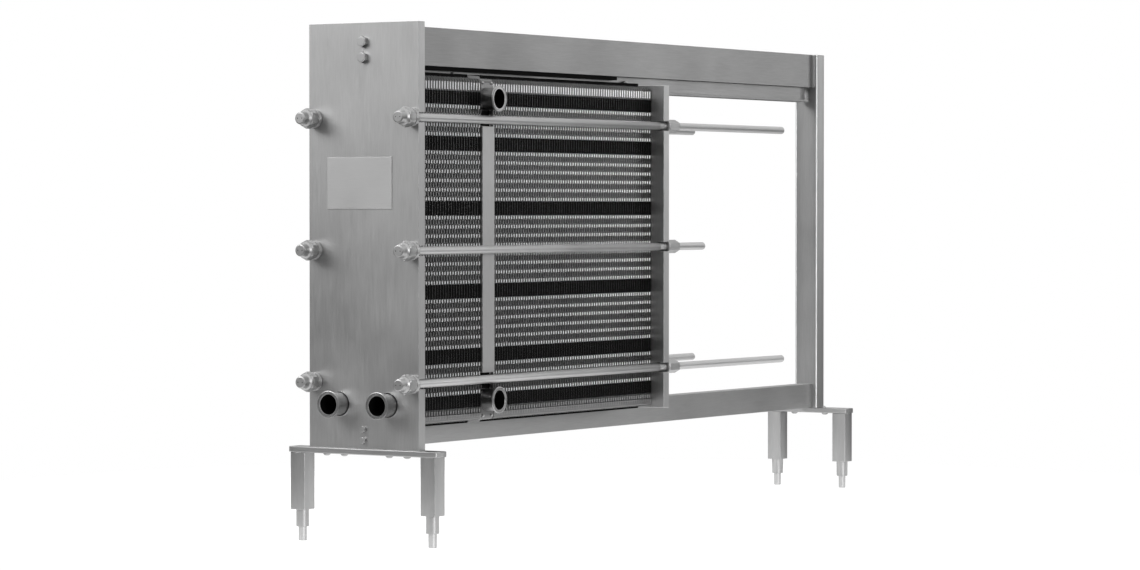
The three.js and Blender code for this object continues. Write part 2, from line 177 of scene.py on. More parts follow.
def hexagonal(start, length, flats, chamfer, centre, corner_angle, bore=0.0, sides=48):
    """A hexagonal body along X whose corners are cut back by a cone at both ends, as on a turned nut."""
    corner = flats / math.sqrt(3)
    stations = [(start, corner - chamfer), (start + chamfer * 0.6, corner),
                (start + length - chamfer * 0.6, corner), (start + length, corner - chamfer)]
    vertices = []
    for x, limit in stations:
        for k in range(sides):
            angle = 2 * math.pi * k / sides
            local = (angle - corner_angle) % (math.pi / 3) - math.pi / 6
            radius = min(flats / 2 / math.cos(local), limit)
            vertices.append((x, radius * math.cos(angle), radius * math.sin(angle)))
    if bore > 0:
        for x in (start + length, start):
            for k in range(sides):
                angle = 2 * math.pi * k / sides
                vertices.append((x, bore * math.cos(angle), bore * math.sin(angle)))
    rings = len(vertices) // sides
    faces = []
    last = rings if bore > 0 else rings - 1
    for r in range(last):
        for k in range(sides):
            n = (k + 1) % sides
            a, b = r * sides, ((r + 1) % rings) * sides
            faces.append((a + k, a + n, b + n, b + k))
    if bore == 0:
        faces.append(tuple(range(sides)))
        faces.append(tuple(reversed(range((rings - 1) * sides, rings * sides))))
    bag = Bag()
    bag.add(np.array(vertices) + np.array(centre), faces)
    mesh = bag.mesh("hexagonal")
    outward(mesh)
    smooth(mesh, 20)
    return mesh


def threaded(start, end, radius, depth, pitch, centre, sides=24):
    """A rod along X with a helical thread and plain rounded ends."""
    steps = int((end - start) / pitch * 4)
    xs = np.linspace(start, end, steps + 1)
    angles = np.arange(sides) * 2 * math.pi / sides
    grid_x, grid_a = np.meshgrid(xs, angles, indexing="ij")
    phase = (grid_x / pitch - grid_a / (2 * math.pi)) % 1.0
    cut = np.abs(phase - 0.5) * 2
    fade = np.clip(np.minimum(grid_x - start, end - grid_x) / pitch, 0, 1)
    r = radius - depth * cut * fade
    r[0, :] = radius - depth
    r[-1, :] = radius - depth
    points = np.stack([grid_x, r * np.cos(grid_a), r * np.sin(grid_a)], axis=-1).reshape(-1, 3)
    faces = []
    for i in range(steps):
        for k in range(sides):
            n = (k + 1) % sides
            faces.append((i * sides + k, i * sides + n, (i + 1) * sides + n, (i + 1) * sides + k))
    faces.append(tuple(range(sides)))
    faces.append(tuple(reversed(range(steps * sides, (steps + 1) * sides))))
    bag = Bag()
    bag.add(points + np.array(centre), faces)
    mesh = bag.mesh("threaded")
    outward(mesh)
    smooth(mesh, 50)
    return mesh


def place(name, mesh, material, body, slot, *nodes):
    piece = new_object(name, mesh, material)
    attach(piece, body)
    if nodes:
        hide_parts(*nodes)
    return piece


def refined(node, material, slot, radius=0.0012, steps=3, angle=40):
    """The CAD solid itself with its edges rounded by a small radius."""
    shape = bmesh.new()
    shape.from_mesh(frame["nodes"][node].data)
    bmesh.ops.remove_doubles(shape, verts=shape.verts, dist=1e-6)
    bmesh.ops.dissolve_limit(shape, angle_limit=math.radians(1), verts=shape.verts, edges=shape.edges)
    mesh = bpy.data.meshes.new(node + "_finished")
    shape.to_mesh(mesh)
    shape.free()
    smooth(mesh, angle)
    piece = place(node + "_finished", mesh, material, BODY_OF[node], slot, node)
    bevel = piece.modifiers.new("edge", "BEVEL")
    bevel.width = radius
    bevel.segments = steps
    bevel.limit_method = "ANGLE"
    bevel.angle_limit = math.radians(angle)
    bevel.harden_normals = True
    return piece


# ---------------------------------------------------------------- materials

EVEN = (1, 1, 1)


def tree_of(name):
    material = bpy.data.materials.new(name)
    material.use_nodes = True
    nodes = material.node_tree.nodes
    return material, nodes, material.node_tree.links, nodes["Principled BSDF"]


def noise(nodes, links, stretch, scale, detail, roughness):
    """Procedural noise in the object's own coordinates, stretched by a scale for each axis."""
    coordinates = nodes.new("ShaderNodeTexCoord")
    mapping = nodes.new("ShaderNodeMapping")
    mapping.inputs["Scale"].default_value = stretch
    links.new(coordinates.outputs["Object"], mapping.inputs["Vector"])
    pattern = nodes.new("ShaderNodeTexNoise")
    links.new(mapping.outputs["Vector"], pattern.inputs["Vector"])
    pattern.inputs["Scale"].default_value = scale
    pattern.inputs["Detail"].default_value = detail
    pattern.inputs["Roughness"].default_value = roughness
    return pattern


def remap(nodes, links, source, low, high, from_low=0.3, from_high=0.7):
    node = nodes.new("ShaderNodeMapRange")
    node.inputs["From Min"].default_value = from_low
    node.inputs["From Max"].default_value = from_high
    node.inputs["To Min"].default_value = low
    node.inputs["To Max"].default_value = high
    links.new(source, node.inputs["Value"])
    return node.outputs["Result"]


def multiply(nodes, links, a, b):
    node = nodes.new("ShaderNodeMath")
    node.operation = "MULTIPLY"
    links.new(a, node.inputs[0])
    links.new(b, node.inputs[1])
    return node.outputs["Value"]


def tinted(nodes, links, value, warmth):
    """A grey of that value with a slight warm or cold cast."""
    node = nodes.new("ShaderNodeCombineColor")
    for channel, share in zip(("Red", "Green", "Blue"), (1 + warmth, 1.0, 1 - warmth)):
        scale = nodes.new("ShaderNodeMath")
        scale.operation = "MULTIPLY"
        scale.inputs[1].default_value = share
        links.new(value, scale.inputs[0])
        links.new(scale.outputs["Value"], node.inputs[channel])
    return node.outputs["Color"]


def add_bump(nodes, links, shader, pattern, strength, height):
    bump = nodes.new("ShaderNodeBump")
    bump.inputs["Strength"].default_value = strength
    bump.inputs["Distance"].default_value = height
    links.new(pattern.outputs["Fac"], bump.inputs["Height"])
    links.new(bump.outputs["Normal"], shader.inputs["Normal"])


def steel(name, tone, roughness, grain, relief=0.25, streak=0.10, cloud=0.05):
    """Stainless steel. Grain is the axis that the brush marks run along, or None for turned metal."""
    material, nodes, links, shader = tree_of(name)
    long_marks = [0.012 if axis == grain else 1.0 for axis in "XYZ"]
    long_bands = [0.06 if axis == grain else 1.0 for axis in "XYZ"]
    marks = noise(nodes, links, long_marks, 900.0, 3.0, 0.6)
    bands = noise(nodes, links, long_bands, 420.0, 3.0, 0.6)
    haze = noise(nodes, links, EVEN, 3.2, 5.0, 0.6)
    value = multiply(nodes, links,
                     remap(nodes, links, bands.outputs["Fac"], tone * (1 - streak), tone * (1 + streak)),
                     remap(nodes, links, haze.outputs["Fac"], 1 - cloud, 1 + cloud))
    links.new(tinted(nodes, links, value, 0.0), shader.inputs["Base Color"])
    shine = multiply(nodes, links,
                     remap(nodes, links, marks.outputs["Fac"], roughness * 0.88, roughness * 1.12),
                     remap(nodes, links, haze.outputs["Fac"], 0.9, 1.14))
    links.new(shine, shader.inputs["Roughness"])
    add_bump(nodes, links, shader, marks, relief, 0.06 * MM)
    shader.inputs["Metallic"].default_value = 1.0
    return material


def rubber(name, tone, roughness):
    """Moulded gasket rubber: nearly black, with a dusty bloom and a fine grain."""
    material, nodes, links, shader = tree_of(name)
    bloom = noise(nodes, links, EVEN, 38.0, 5.0, 0.65)
    grain = noise(nodes, links, EVEN, 1600.0, 2.0, 0.5)
    value = remap(nodes, links, bloom.outputs["Fac"], tone * 0.6, tone * 1.6)
    links.new(tinted(nodes, links, value, 0.02), shader.inputs["Base Color"])
    shine = remap(nodes, links, bloom.outputs["Fac"], roughness * 0.85, roughness * 1.1)
    links.new(shine, shader.inputs["Roughness"])
    shader.inputs["Specular IOR Level"].default_value = 0.06
    add_bump(nodes, links, shader, grain, 0.3, 0.08 * MM)
    return material


PLATE = steel("frame_plate_steel", 0.45, 0.40, "Z", streak=0.05, cloud=0.02)
BAR = steel("bar_steel", 0.27, 0.38, "X", streak=0.05, cloud=0.02)
GUIDE = steel("guide_bar_steel", 0.38, 0.38, "X", streak=0.05, cloud=0.02)
POST = steel("post_steel", 0.33, 0.36, "Z", streak=0.05, cloud=0.02)
LEG = steel("leg_steel", 0.43, 0.36, "Z", streak=0.05, cloud=0.02)
CROSS = steel("crossbar_steel", 0.40, 0.38, "Y", streak=0.05, cloud=0.02)
SATIN = steel("turned_steel", 0.41, 0.42, None, relief=0.03)
# painted shade: a much darker, polished steel for the set-back corner blocks of the connection plate
PORT_BLOCK_SHADE = steel("port_block_painted_shade_steel", 0.15, 0.30, None, relief=0.03)
ROD = steel("rod_steel", 0.52, 0.44, "X", relief=0.06, streak=0.04)
POLISHED = steel("ferrule_steel", 0.38, 0.30, None, relief=0.04)
BADGE = steel("badge_steel", 0.50, 0.45, "Y", relief=0.1, streak=0.02, cloud=0.02)
SHEET = steel("heat_plate_steel", 0.40, 0.30, "Z", relief=0.08, streak=0.08)
# painted highlight: a near-white copy of the plate steel for the crests on the pack's edges and the
# column's corner beads
HIGHLIGHT_STEEL = steel("painted_highlight_steel", 0.94, 0.35, "Z", relief=0.05, streak=0.05)
# nearly black rubber for the gaskets, also used for the black pieces that are painted shade
RUBBER_AND_SHADE = rubber("gasket_rubber_and_painted_shade", 0.002, 0.75)


# ---------------------------------------------------------------- frame, beam, column, legs

REFINED = [
    ("frame_plate", PLATE, "brushed_plate", 0.0014),
    ("pressure_plate", PLATE, "brushed_plate", 0.0014),
    ("connection_plate", PLATE, "brushed_plate", 0.0012),
    ("badge_plate", BADGE, "badge_steel", 0.0004),
    ("carrying_beam", BAR, "bar_steel", 0.0015),
    ("beam_end_flange", LEG, "bar_steel", 0.001),
    ("hanger_rail", BAR, "bar_steel", 0.0008),
    ("guide_bar", GUIDE, "bar_steel", 0.0015),
    ("end_column", POST, "bar_steel", 0.002),
    ("front_crossbar", CROSS, "bar_steel", 0.0025),
    ("rear_crossbar", CROSS, "bar_steel", 0.0025),
    ("pressure_plate_hanger", POST, "bar_steel", 0.0008),
]
for node, material, slot, radius in REFINED:
    refined(node, material, slot, radius)
for end in ("front", "rear"):
    for side in SIDES:
        refined(f"leg_{end}_{side}", LEG, "bar_steel", 0.0008)


# ---------------------------------------------------------------- ferrule ports

TUBE_R = 27 * MM
BORE_R = 23.75 * MM
PLATE_HOLE_R = 29 * MM


def ferrule_profile(length, rim_r):
    """Clamp ferrule with a gasket groove in its face, then the tube behind it."""
    groove = 28.4 * MM
    return [
        (0.0, BORE_R + 0.5 * MM), (0.0, groove - 1.6 * MM), (1.4 * MM, groove - 0.9 * MM),
        (1.4 * MM, groove + 0.9 * MM), (0.0, groove + 1.6 * MM), (0.0, rim_r - 0.8 * MM),
        (0.4 * MM, rim_r), (2.8 * MM, rim_r), (3.4 * MM, rim_r - 0.4 * MM),
        (7.6 * MM, TUBE_R + 0.8 * MM), (9.5 * MM, TUBE_R), (length, TUBE_R),
        (length, BORE_R), (0.5 * MM, BORE_R), (0.0, BORE_R + 0.5 * MM),
    ]


def ferrule(node, axis, facing):
    low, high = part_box(node)
    index = "XYZ".index(axis)
    centre = middle(node)
    length = (high - low)[index]
    radius = (high - low)[(index + 2) % 3] / 2
    start = low[index] if facing < 0 else high[index]
    profile = [(start - facing * d, r) for d, r in ferrule_profile(length, radius)]
    centre[index] = 0.0
    mesh = turned(profile, axis, centre, 72)
    place(node + "_turned", mesh, POLISHED, BODY_OF[node], "ferrule_steel", node)
    # a black sleeve inside the bore, from just behind the face to the end of the tube: painted shade deep
    # in the tube
    end = length / MM - 1
    section = [(1.2, 0.05), (2.0, 0.7), (end, 0.7), (end, 0.05), (1.2, 0.05)]
    bore_shade = turned([(start - facing * d * MM, BORE_R - t * MM) for d, t in section], axis, centre, 72)
    place(node + "_lining", bore_shade, RUBBER_AND_SHADE, BODY_OF[node], "plate_pack")


def port_rim(name, node, plate, facing):
    """The rounded lip of the hole that a port tube comes through."""
    low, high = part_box(plate)
    face = low.x if facing < 0 else high.x
    centre = middle(node)
    centre.x = 0.0
    lip = [(-0.6, 0.0), (-0.6, 1.2), (0.0, 1.8), (0.8, 1.9), (1.2, 1.4), (1.2, 0.0), (-0.6, 0.0)]
    profile = [(face + facing * a * MM, PLATE_HOLE_R + (b - 0.5) * MM) for a, b in lip]
    place(name, turned(profile, "X", centre, 72), POLISHED, BODY_OF[plate], "ferrule_steel")


for side in SIDES:
    ferrule(f"frame_port_{side}", "X", -1)
    ferrule(f"pressure_port_{side}", "X", 1)
    port_rim(f"frame_port_rim_{side}", f"frame_port_{side}", "frame_plate", -1)
    port_rim(f"pressure_port_rim_{side}", f"pressure_port_{side}", "pressure_plate", 1)
    for row in ("top", "bottom"):
        ferrule(f"corner_port_{row}_{side}", "Y", SIDES[side])


def connection_corner(row, side):
    """Black strip in the recess behind a tie rod, painted shade in the recess, and the screws of the corner
    block.
    """
    low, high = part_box("connection_plate")
    up = 1 if row == "top" else -1
    s = SIDES[side]
    bag = Bag()
    xs = (low.x + 1 * MM, high.x - 1 * MM)
    ys = sorted((s * 100 * MM, s * 107.5 * MM))
    zs = sorted(middle("connection_plate").z + up * z * MM for z in (298, 335))
    add_box(bag, xs, ys, zs)
    mesh = bag.mesh("recess_shade_strip")
    outward(mesh)
    place(f"recess_shade_strip_{row}_{side}", mesh, RUBBER_AND_SHADE, BODY_OF["connection_plate"], "plate_pack")
    face = s * 120 * MM
    profile = [(face, 0.0), (face, 3.6 * MM), (face + s * 2.2 * MM, 3.2 * MM),
               (face + s * 2.8 * MM, 2.2 * MM), (face + s * 2.8 * MM, 0.0)]
    screw_z = middle(f"corner_port_{row}_{side}").z + up * 38 * MM
    for k, x in (("a", low.x + 7 * MM), ("b", high.x - 7 * MM)):
        screw = turned(profile, "Y", Vector((x, 0.0, screw_z)), 24)
        name = f"corner_screw_{row}_{side}_{k}"
        place(name, screw, SATIN, BODY_OF["connection_plate"], "fastener_steel")


for side in SIDES:
    for row in ("top", "bottom"):
        connection_corner(row, side)


# ---------------------------------------------------------------- tie bolts

ROD_R = 10 * MM
THREAD_PITCH = 3 * MM
THREAD_DEPTH = 0.9 * MM
ROOT_R = ROD_R - THREAD_DEPTH
PRESSURE_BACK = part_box("pressure_plate")[1].x


def tie_bolt(row, side):
    node = f"tie_bolt_{row}_{side}"
    washers = f"tie_washers_{row}_{side}"
    low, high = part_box(node)
    centre = middle(node)
    centre.x = 0.0
    flats = size(node).y
    hex_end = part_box(washers)[0].x - 0.2 * MM
    hex_length = 22 * MM
    nose_r = 14.8 * MM
    hex_start = hex_end - hex_length
    nose = turned([
        (low.x, 0.0), (low.x, nose_r - 3.2 * MM), (low.x + 0.5 * MM, nose_r - 1.9 * MM),
        (low.x + 1.8 * MM, nose_r - 0.4 * MM), (low.x + 3.2 * MM, nose_r), (hex_start - 9 * MM, nose_r),
        (hex_start - 5 * MM, nose_r + 1.2 * MM), (hex_start - 0.6 * MM, nose_r + 5 * MM),
        (hex_start + 2 * MM, nose_r + 5 * MM), (hex_start + 2 * MM, 0.0),
    ], "X", centre)
    hex_head = hexagonal(hex_start, hex_length, flats, 3.4 * MM, centre, math.pi / 2)
    thread_start = PRESSURE_BACK - 28 * MM
    shank = turned([
        (hex_end - 1 * MM, 0.0), (hex_end - 1 * MM, ROD_R), (thread_start - 1 * MM, ROD_R),
        (thread_start, ROOT_R), (thread_start + 2 * MM, ROOT_R), (thread_start + 2 * MM, 0.0),
    ], "X", centre, 36)
    thread = threaded(thread_start, high.x - 3 * MM, ROD_R, THREAD_DEPTH, THREAD_PITCH, centre)
    tip = turned([
        (high.x - 4 * MM, 0.0), (high.x - 4 * MM, ROOT_R), (high.x - 3 * MM, ROD_R - 0.6 * MM),
        (high.x - 1 * MM, ROD_R - 2.2 * MM), (high.x, ROD_R - 3 * MM), (high.x, 0.0),
    ], "X", centre, 36)
    head = joined(node + "_head", [nose, hex_head])
    place(node + "_head", head, SATIN, node, "fastener_steel")
    rod = joined(node + "_rod", [shank, thread, tip], 50)
    place(node + "_rod", rod, ROD, node, "fastener_steel", node)
    # two small black discs on the face of the nose: painted shade standing for wrench holes, which are not
    # cut
    hole_shade_profile = [(low.x - 0.05 * MM, 0.0), (low.x - 0.05 * MM, 1.3 * MM), (low.x + 0.5 * MM, 1.6 * MM),
                    (low.x + 0.5 * MM, 0.0)]
    for letter, y in (("a", -6.2 * MM), ("b", 6.2 * MM)):
        hole = turned(hole_shade_profile, "X", centre + Vector((0.0, y, 0.0)), 16)
        place(f"{node}_wrench_hole_shade_{letter}", hole, RUBBER_AND_SHADE, node, "plate_pack")


def washer(start, end, outer, inner, centre):
    edge = 0.7 * MM
    return turned([
        (start, inner), (start, outer - edge), (start + edge, outer), (end - edge, outer),
        (end, outer - edge), (end, inner), (start, inner),
    ], "X", centre, 60)


def tie_washers(row, side):
    node = f"tie_washers_{row}_{side}"
    low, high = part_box(node)
    centre = middle(node)
    centre.x = 0.0
    outer = size(node).z / 2
    inner = ROD_R + 0.4 * MM
    step = (high.x - low.x) / 3
    stack = [
        washer(low.x, low.x + step - 0.3 * MM, outer - 1.4 * MM, inner, centre),
        washer(low.x + step, low.x + 2 * step - 0.3 * MM, outer, inner, centre),
        washer(low.x + 2 * step, high.x, outer, inner, centre),
    ]
    place(node + "_stack", joined(node, stack), SATIN, BODY_OF[node], "fastener_steel", node)


def tie_nut(row, side):
    node = f"tie_nut_{row}_{side}"
    low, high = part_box(node)
    centre = middle(node)
    centre.x = 0.0
    collar = 8 * MM
    bore = ROD_R + 0.3 * MM
    parts = [
        washer(low.x, low.x + collar * 0.55, 19 * MM, bore, centre),
        washer(low.x + collar * 0.58, low.x + collar, 17 * MM, bore, centre),
        hexagonal(low.x + collar, high.x - low.x - collar, 30 * MM, 2.6 * MM, centre, math.pi / 6, bore),
        # centring ring that lies in the slot of the pressure plate
        washer(low.x - 9 * MM, low.x - 3 * MM, 11.4 * MM, bore, centre),
    ]
    place(node + "_turned", joined(node, parts), SATIN, node, "fastener_steel", node)


for side in SIDES:
    for row in ROWS:
        tie_bolt(row, side)
        tie_washers(row, side)
        tie_nut(row, side)


# ---------------------------------------------------------------- hex bolts, feet and rollers

def frame_bolt(node, flats, dome):
    """The head of a bolt in the frame plate, with a low dome on its hexagon."""
    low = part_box(node)[0]
    centre = middle(node)
    centre.x = 0.0
    head_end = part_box("frame_plate")[0].x - 0.2 * MM
    head = hexagonal(low.x + dome, head_end - low.x - dome, flats, 1.0 * MM, centre, math.pi / 6)
    face = low.x + dome + 0.02 * MM
    crown = turned([(low.x, 0.0), (low.x, flats * 0.41), (face, flats * 0.45), (face, 0.0)], "X", centre)
    place(node + "_head", joined(node, [head, crown]), SATIN, "frame", "fastener_steel", node)


for k in (1, 2):
    frame_bolt(f"beam_bolt_{k}", 24 * MM, 0.4 * MM)
    frame_bolt(f"guide_bar_bolt_{k}", 15 * MM, 0.3 * MM)


def foot(end, side):
    node = f"foot_stem_{end}_{side}"
    low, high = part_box(node)
    centre = middle(node)
    centre.z = 0.0
    radius = size(node).x / 2
    stem = turned([
        (low.z, 0.0), (low.z, radius - 1.2 * MM), (low.z + 1.2 * MM, radius), (high.z, radius),
        (high.z, 0.0),
    ], "Z", centre)
    place(node + "_turned", stem, ROD, node, "fastener_steel", node)


def roller(side):
    node = f"hanger_roller_{side}"
    low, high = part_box(node)
    centre = middle(node)
    centre.y = 0.0
    radius = size(node).z / 2
    edge = 0.8 * MM
    bore = 4.4 * MM
    wheel = turned([
        (low.y, bore), (low.y, radius - edge), (low.y + edge, radius), (high.y - edge, radius),
        (high.y, radius - edge), (high.y, 8 * MM), (high.y - 1 * MM, 7 * MM), (high.y - 1 * MM, bore),
        (low.y, bore),
    ], "Y", centre)
    place(node + "_turned", wheel, SATIN, node, "fastener_steel", node)


def domed_head(name, centre, direction, radius, height, body):
    """A low round head standing on a face; direction is the axis letter with a sign."""
    sign = 1 if direction[0] == "+" else -1
    axis = direction[1]
    index = "XYZ".index(axis)
    base = centre[index]
    rest = centre.copy()
    rest[index] = 0.0
    dome = [(0.0, 0.0), (0.0, radius), (height * 0.35, radius), (height * 0.75, radius * 0.8),
            (height, radius * 0.45), (height, 0.0)]
    profile = [(base + sign * d, r) for d, r in dome]
    place(name, turned(profile, axis, rest, 32), SATIN, body, "fastener_steel")


def crossbar_heads():
    """Screw heads under and on the two crossbars."""
    for bar, offsets in (("front_crossbar", (65, 116)), ("rear_crossbar", (49,))):
        low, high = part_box(bar)
        x = (low.x + high.x) / 2
        for offset in offsets:
            for name, side in SIDES.items():
                under = Vector((x, side * offset * MM, low.z - 0.05 * MM))
                domed_head(f"{bar}_screw_{offset}_{name}", under, "-Z", 9 * MM, 6 * MM, "frame")
    low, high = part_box("rear_crossbar")
    for name, side in SIDES.items():
        top = Vector((low.x + 7 * MM, side * 54 * MM, high.z + 0.05 * MM))
        domed_head(f"rear_crossbar_top_screw_{name}", top, "+Z", 5.5 * MM, 6 * MM, "frame")


RAIL_SCREW_X = 420.3 * MM  # behind the front ends of the tie bolts


def rail_screws():
    """The screw through the rail's web above the connection plate, seen on both sides."""
    x = CAD_BOX[0].x + RAIL_SCREW_X
    z = middle("hanger_rail").z + 4 * MM
    for name, side in SIDES.items():
        spot = Vector((x, side * 6.1 * MM, z))
        outwards = "+Y" if side > 0 else "-Y"
        domed_head(f"rail_screw_front_{name}", spot, outwards, 5 * MM, 5 * MM, "frame")


def flange_shade_strips():
    """Black strips along the top of the rail's web, under the beam's flange: painted shade in the gap
    between beam and rail.
    """
    low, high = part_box("hanger_rail")
    for name, side in SIDES.items():
        bag = Bag()
        xs = (low.x + 0.3 * MM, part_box("pressure_plate")[0].x - 6 * MM)
        ys = sorted((side * 6.2 * MM, side * 19 * MM))
        zs = (high.z - 10 * MM, high.z - 0.3 * MM)
        add_box(bag, xs, ys, zs)
        mesh = bag.mesh("flange_shade_strip")
        outward(mesh)
        place(f"flange_shade_strip_{name}", mesh, RUBBER_AND_SHADE, "frame", "plate_pack")


def paint_port_block_shade():
    """The corner blocks of the connection plate, and the faces near its ends, get a much darker steel,
    polished, not brushed: painted shade for the set-back blocks.
    """
    mesh = bpy.data.objects["connection_plate_finished"].data
    mesh.materials.append(PORT_BLOCK_SHADE)
    centre = middle("connection_plate").z
    for face in mesh.polygons:
        height = abs(face.center.z - centre)
        if height > 396 * MM or height > 297 * MM and abs(face.center.y) > 84 * MM:
            face.material_index = 1


def column_highlight_beads():
    """Beads down the two front corners of the column in a near-white steel: a painted highlight along the
    corners.
    """
    low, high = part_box("end_column")
    radius = 2.4 * MM
    for name, side in SIDES.items():
        y = (low.y if side < 0 else high.y) - side * (radius - 0.3 * MM)
        centre = Vector((low.x + radius - 0.3 * MM, y, 0.0))
        profile = [(low.z + 0.5 * MM, 0.0), (low.z + 0.5 * MM, radius), (high.z - 0.5 * MM, radius),
                   (high.z - 0.5 * MM, 0.0)]
        bead = turned(profile, "Z", centre, 24)
        place(f"column_highlight_bead_{name}", bead, HIGHLIGHT_STEEL, BODY_OF["end_column"], "bar_steel")


crossbar_heads()
rail_screws()
flange_shade_strips()
paint_port_block_shade()
column_highlight_beads()
for end in ("front", "rear"):
    for side in SIDES:
        foot(end, side)
for side in SIDES:
    roller(side)


# ---------------------------------------------------------------- plate packs

PLATE_PITCH = 5.7 * MM
SHEET_THICKNESS = 0.8 * MM
HALF_WIDTH = 120 * MM
HALF_HEIGHT = 410 * MM
TAB_HALF = 80 * MM
TAB_METAL_HALF = 77 * MM
TAB_TOP = 416.5 * MM
WAVE_PERIOD = 22 * MM
WAVE_DEPTH = 2.25 * MM
CREST_ROW = 11 * MM
FLAT = 3.6 * MM
RIM = 10 * MM
SEAT = 13 * MM
# the edge of a plate stands back this far at the rubber clips, for the two kinds of plate in turn
CLIP_RECESS = (1.6 * MM, 0.77 * MM)
CORNER = 10 * MM
PACK_Z = middle("plate_pack_1").z
# heights, from the pack's centre, where the edge is straight and rubber clips reach it
CLIP_BANDS = [(81 * MM, 117 * MM), (235 * MM, 271 * MM), (345 * MM, 379 * MM)]
CHANNEL_R = 25 * MM
PORT_Y = abs(middle("frame_port_near").y)
PORT_Z = PACK_Z - middle("frame_port_near").z
# crests where two plates meet on the long edges, in a near-white steel as a painted highlight: half height,
# depth and rounding
CREST_HALF = 4.2 * MM
CREST_DEPTH = 2.6 * MM
CREST_LEAN = 1.3 * MM
TOP_CREST = (381 * MM, 400 * MM)
BOTTOM_CREST = (-391 * MM, -381 * MM)
# black strips on the tabs at the top and bottom of the plates, painted shade for the dark gaps over and
# under the pack, and the plates' lowest corners
TOP_SHADE_STRIP = (HALF_HEIGHT - 2 * MM, TAB_TOP + 4.5 * MM)
BOTTOM_SHADE_STRIP = (-TAB_TOP - 1.3 * MM, 2 * MM - HALF_HEIGHT)
SHADE_STRIP_START = 24 * MM
FLANGE = (-HALF_HEIGHT + 3 * MM, -HALF_HEIGHT + 17 * MM)
CLOSED_BY_PLATE = (PACKS[1], PACKS[-1])  # groups whose last gasket lies against a thick plate


def wave(z):
    """How far the rim stands forwards (1) or back (-1) at a height from the centre, and if it's clipped."""
    h = abs(z)
    for low, high in CLIP_BANDS:
        if low < h < high:
            return 0.35, True
    if h >= CLIP_BANDS[-1][1]:
        return (1.0, False) if h < HALF_HEIGHT - CORNER else (0.5, False)
    phase = ((h - CREST_ROW) / WAVE_PERIOD) % 1.0
    distance = min(phase, 1 - phase) * WAVE_PERIOD
    rest = WAVE_PERIOD / 2 - 2 * FLAT
    return 1 - 2 * min(max((distance - FLAT) / rest, 0.0), 1.0), False


def side_heights():
    """Heights of the points down one long side, at each corner of the wave and of the clip bands."""
    heights = set()
    steps = int((HALF_HEIGHT - CORNER) / (WAVE_PERIOD / 2))
    for k in range(-steps, steps + 1):
        centre = k * WAVE_PERIOD / 2
        heights.update((centre - FLAT, centre + FLAT))
    bands = [band for low, high in CLIP_BANDS for band in ((low, high), (-high, -low))]
    heights = {z for z in heights if not any(low - 1e-6 < z < high + 1e-6 for low, high in bands)}
    for low, high in bands:
        heights.update((low, low + 1.2 * MM, high - 1.2 * MM, high))
    limit = HALF_HEIGHT - CORNER
    heights.update((-limit, limit))
    return sorted(z for z in heights if abs(z) <= limit + 1e-9)


def corner_arc(cy, cz, start):
    for k in range(1, 4):
        angle = start + k * math.pi / 8
        yield cy + CORNER * math.cos(angle), cz + CORNER * math.sin(angle)


def plate_outline():
    """One heat plate seen along X: (y, z, wave, clipped) anticlockwise, around the pack's centre."""
    rail_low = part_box("hanger_rail")[0].z - PACK_Z
    rail_high = rail_low + 7 * MM
    lip = size("hanger_rail").y / 2
    guide = size("guide_bar").y / 2
    guide_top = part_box("guide_bar")[1].z - PACK_Z
    half = [(guide + 2 * MM, guide_top + 2.5 * MM), (guide + 2 * MM, -TAB_TOP),
            (TAB_METAL_HALF, -TAB_TOP), (TAB_HALF + 5 * MM, -HALF_HEIGHT),
            (HALF_WIDTH - CORNER, -HALF_HEIGHT)]
    half += list(corner_arc(HALF_WIDTH - CORNER, CORNER - HALF_HEIGHT, -math.pi / 2))
    half += [(HALF_WIDTH, z) for z in side_heights()]
    half += list(corner_arc(HALF_WIDTH - CORNER, HALF_HEIGHT - CORNER, 0.0))
    half += [(HALF_WIDTH - CORNER, HALF_HEIGHT), (TAB_HALF + 5 * MM, HALF_HEIGHT),
             (TAB_METAL_HALF, TAB_TOP), (8 * MM, TAB_TOP), (8 * MM, rail_high + 2 * MM),
             (lip + 2 * MM, rail_high + 2 * MM), (lip + 2 * MM, rail_low - 2 * MM)]
    points = half + [(-y, z) for y, z in reversed(half)]
    return [(y, z, *wave(z)) for y, z in points]


def inset(y, z, depth):
    """The nearest point that lies at least a depth inside the plate's outline."""
    return (math.copysign(min(abs(y), HALF_WIDTH - depth), y),
            math.copysign(min(abs(z), HALF_HEIGHT - depth), z))


